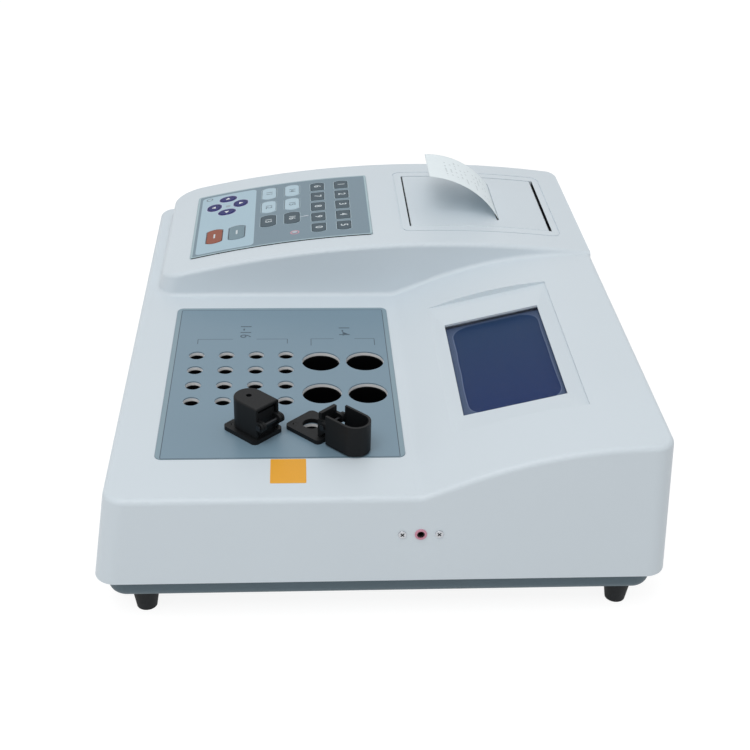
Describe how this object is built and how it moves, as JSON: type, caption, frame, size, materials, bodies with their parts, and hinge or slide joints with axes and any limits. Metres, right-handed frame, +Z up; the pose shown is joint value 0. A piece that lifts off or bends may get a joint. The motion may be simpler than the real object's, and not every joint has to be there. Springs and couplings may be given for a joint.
{
  "type": "coagulation analyzer",
  "caption": "Bench-top coagulation analyzer: a deck with sample and reagent wells and two hinged measuring channels, a sloped display, a keypad and a paper printer.",
  "frame": {"origin": "middle of the footprint, on the surface that the feet stand on", "axes": "+X to the operator's right, +Y away from the operator, +Z up"},
  "size_m": [0.36, 0.286, 0.1367],
  "materials": {
    "housing_plastic": "fine moulded satin white-grey plastic",
    "tray_plastic": "dark slate moulded plastic",
    "rubber": "black rubber",
    "screw_steel": "zinc plated steel",
    "deck_film": "satin printed polyester film",
    "anodised_block": "black anodised aluminium",
    "silicone": "silicone heater mat",
    "black_plastic": "black moulded plastic",
    "clear_resin": "clear resin",
    "post_brass": "turned brass",
    "keypad_film": "satin keypad sheet",
    "key_rubber": "moulded key",
    "circuit_board": "green solder mask",
    "window_clear": "clear window",
    "display_metal": "metal bezel with display glass",
    "printer_metal": "folded sheet",
    "ceramic_head": "ceramic print head",
    "platen_rubber": "platen rubber",
    "paper": "thermal paper",
    "ring_plastic": "pink plastic ring"
  },
  "bodies": {
    "root": {"top_housing": "housing_plastic", "base_tray": "tray_plastic", "rubber_feet": "rubber", "foot_screws": "screw_steel", "case_screws": "screw_steel", "deck_panel": "deck_film", "incubator_block": "anodised_block", "heater_mat": "silicone", "optics_block": "anodised_block", "measuring_leds": "clear_resin", "photodiodes": "clear_resin", "block_posts": "post_brass", "channel_base_1": "black_plastic", "channel_base_2": "black_plastic", "hinge_pin_1": "screw_steel", "hinge_pin_2": "screw_steel", "channel_screws": "screw_steel", "keypad_overlay": "keypad_film", "keypad_circuit": "circuit_board", "lcd_window": "window_clear", "lcd_module": "display_metal", "lcd_board": "circuit_board", "printer_chassis": "printer_metal", "print_head": "ceramic_head", "jack_ring": "ring_plastic", "jack_socket": "screw_steel", "jack_screws": "screw_steel", "main_board": "circuit_board", "power_supply": "circuit_board", "power_inlet": "black_plastic", "serial_port": "display_metal"},
    "channel_cap_1": {"channel_cap_1": "black_plastic"},
    "channel_cap_2": {"channel_cap_2": "black_plastic"},
    "printer_lid": {"printer_lid": "housing_plastic", "paper_strip": "paper"},
    "platen_roller": {"platen_roller": "platen_rubber"},
    "paper_roll": {"paper_roll": "paper"},
    "power_switch": {"power_switch": "black_plastic"},
    "key_arrow_up": {"key_arrow_up": "key_rubber"},
    "key_arrow_left": {"key_arrow_left": "key_rubber"},
    "key_arrow_down": {"key_arrow_down": "key_rubber"},
    "key_arrow_right": {"key_arrow_right": "key_rubber"},
    "key_red": {"key_red": "key_rubber"},
    "key_grey": {"key_grey": "key_rubber"},
    "key_a1": {"key_a1": "key_rubber"},
    "key_a2": {"key_a2": "key_rubber"},
    "key_a3": {"key_a3": "key_rubber"},
    "key_b1": {"key_b1": "key_rubber"},
    "key_b2": {"key_b2": "key_rubber"},
    "key_b3": {"key_b3": "key_rubber"},
    "key_c1": {"key_c1": "key_rubber"},
    "key_c2": {"key_c2": "key_rubber"},
    "key_c3": {"key_c3": "key_rubber"},
    "key_c4": {"key_c4": "key_rubber"},
    "key_c5": {"key_c5": "key_rubber"},
    "key_d1": {"key_d1": "key_rubber"},
    "key_d2": {"key_d2": "key_rubber"},
    "key_d3": {"key_d3": "key_rubber"},
    "key_d4": {"key_d4": "key_rubber"},
    "key_d5": {"key_d5": "key_rubber"}
  },
  "joints": [
    {"name": "channel_cap_1_hinge", "type": "hinge", "parent": "root", "child": "channel_cap_1", "pos_m": [0.12572, -0.05598, 0.0853], "axis": [-0.7071, 0.7071, 0], "range_deg": [0, 180]},
    {"name": "channel_cap_2_hinge", "type": "hinge", "parent": "root", "child": "channel_cap_2", "pos_m": [0.12572, -0.02398, 0.0853], "axis": [-0.7071, 0.7071, 0], "range_deg": [-180, 0]},
    {"name": "printer_lid_hinge", "type": "hinge", "parent": "root", "child": "printer_lid", "pos_m": [-0.1103, 0.1169, 0.10279], "axis": [-1, 0, 0], "range_deg": [0, 85]},
    {"name": "platen_spin", "type": "hinge", "parent": "root", "child": "platen_roller", "pos_m": [-0.1103, 0.08125, 0.0965], "axis": [1, 0, 0], "continuous": true},
    {"name": "paper_roll_spin", "type": "hinge", "parent": "root", "child": "paper_roll", "pos_m": [-0.1103, 0.058, 0.0808], "axis": [1, 0, 0], "continuous": true},
    {"name": "power_switch_rock", "type": "hinge", "parent": "root", "child": "power_switch", "pos_m": [-0.101, 0.13643, 0.06477], "axis": [1, 0, 0], "range_deg": [0, 16]},
    {"name": "key_arrow_up_press", "type": "slide", "parent": "root", "child": "key_arrow_up", "axis": [0, -0.2013, 0.9795], "range_m": [-0.0004, 0], "stiffness_N_per_m": 600},
    {"name": "key_arrow_left_press", "type": "slide", "parent": "root", "child": "key_arrow_left", "axis": [0, -0.2137, 0.9769], "range_m": [-0.0004, 0], "stiffness_N_per_m": 600},
    {"name": "key_arrow_down_press", "type": "slide", "parent": "root", "child": "key_arrow_down", "axis": [0, -0.2013, 0.9795], "range_m": [-0.0004, 0], "stiffness_N_per_m": 600},
    {"name": "key_arrow_right_press", "type": "slide", "parent": "root", "child": "key_arrow_right", "axis": [0, -0.189, 0.982], "range_m": [-0.0004, 0], "stiffness_N_per_m": 600},
    {"name": "key_red_press", "type": "slide", "parent": "root", "child": "key_red", "axis": [0, -0.2109, 0.9775], "range_m": [-0.0004, 0], "stiffness_N_per_m": 600},
    {"name": "key_grey_press", "type": "slide", "parent": "root", "child": "key_grey", "axis": [0, -0.1896, 0.9819], "range_m": [-0.0004, 0], "stiffness_N_per_m": 600},
    {"name": "key_a1_press", "type": "slide", "parent": "root", "child": "key_a1", "axis": [0, -0.1599, 0.9871], "range_m": [-0.0004, 0], "stiffness_N_per_m": 600},
    {"name": "key_a2_press", "type": "slide", "parent": "root", "child": "key_a2", "axis": [0, -0.1599, 0.9871], "range_m": [-0.0004, 0], "stiffness_N_per_m": 600},
    {"name": "key_a3_press", "type": "slide", "parent": "root", "child": "key_a3", "axis": [0, -0.1599, 0.9871], "range_m": [-0.0004, 0], "stiffness_N_per_m": 600},
    {"name": "key_b1_press", "type": "slide", "parent": "root", "child": "key_b1", "axis": [0, -0.1372, 0.9905], "range_m": [-0.0004, 0], "stiffness_N_per_m": 600},
    {"name": "key_b2_press", "type": "slide", "parent": "root", "child": "key_b2", "axis": [0, -0.1372, 0.9905], "range_m": [-0.0004, 0], "stiffness_N_per_m": 600},
    {"name": "key_b3_press", "type": "slide", "parent": "root", "child": "key_b3", "axis": [0, -0.1372, 0.9905], "range_m": [-0.0004, 0], "stiffness_N_per_m": 600},
    {"name": "key_c1_press", "type": "slide", "parent": "root", "child": "key_c1", "axis": [0, -0.112, 0.9937], "range_m": [-0.0004, 0], "stiffness_N_per_m": 600},
    {"name": "key_c2_press", "type": "slide", "parent": "root", "child": "key_c2", "axis": [0, -0.112, 0.9937], "range_m": [-0.0004, 0], "stiffness_N_per_m": 600},
    {"name": "key_c3_press", "type": "slide", "parent": "root", "child": "key_c3", "axis": [0, -0.112, 0.9937], "range_m": [-0.0004, 0], "stiffness_N_per_m": 600},
    {"name": "key_c4_press", "type": "slide", "parent": "root", "child": "key_c4", "axis": [0, -0.112, 0.9937], "range_m": [-0.0004, 0], "stiffness_N_per_m": 600},
    {"name": "key_c5_press", "type": "slide", "parent": "root", "child": "key_c5", "axis": [0, -0.112, 0.9937], "range_m": [-0.0004, 0], "stiffness_N_per_m": 600},
    {"name": "key_d1_press", "type": "slide", "parent": "root", "child": "key_d1", "axis": [0, -0.0883, 0.9961], "range_m": [-0.0004, 0], "stiffness_N_per_m": 600},
    {"name": "key_d2_press", "type": "slide", "parent": "root", "child": "key_d2", "axis": [0, -0.0883, 0.9961], "range_m": [-0.0004, 0], "stiffness_N_per_m": 600},
    {"name": "key_d3_press", "type": "slide", "parent": "root", "child": "key_d3", "axis": [0, -0.0883, 0.9961], "range_m": [-0.0004, 0], "stiffness_N_per_m": 600},
    {"name": "key_d4_press", "type": "slide", "parent": "root", "child": "key_d4", "axis": [0, -0.0883, 0.9961], "range_m": [-0.0004, 0], "stiffness_N_per_m": 600},
    {"name": "key_d5_press", "type": "slide", "parent": "root", "child": "key_d5", "axis": [0, -0.0883, 0.9961], "range_m": [-0.0004, 0], "stiffness_N_per_m": 600}
  ],
  "couplings": [
    {"joint": "paper_roll_spin", "follows": "platen_spin", "ratio": -0.26316}
  ]
}
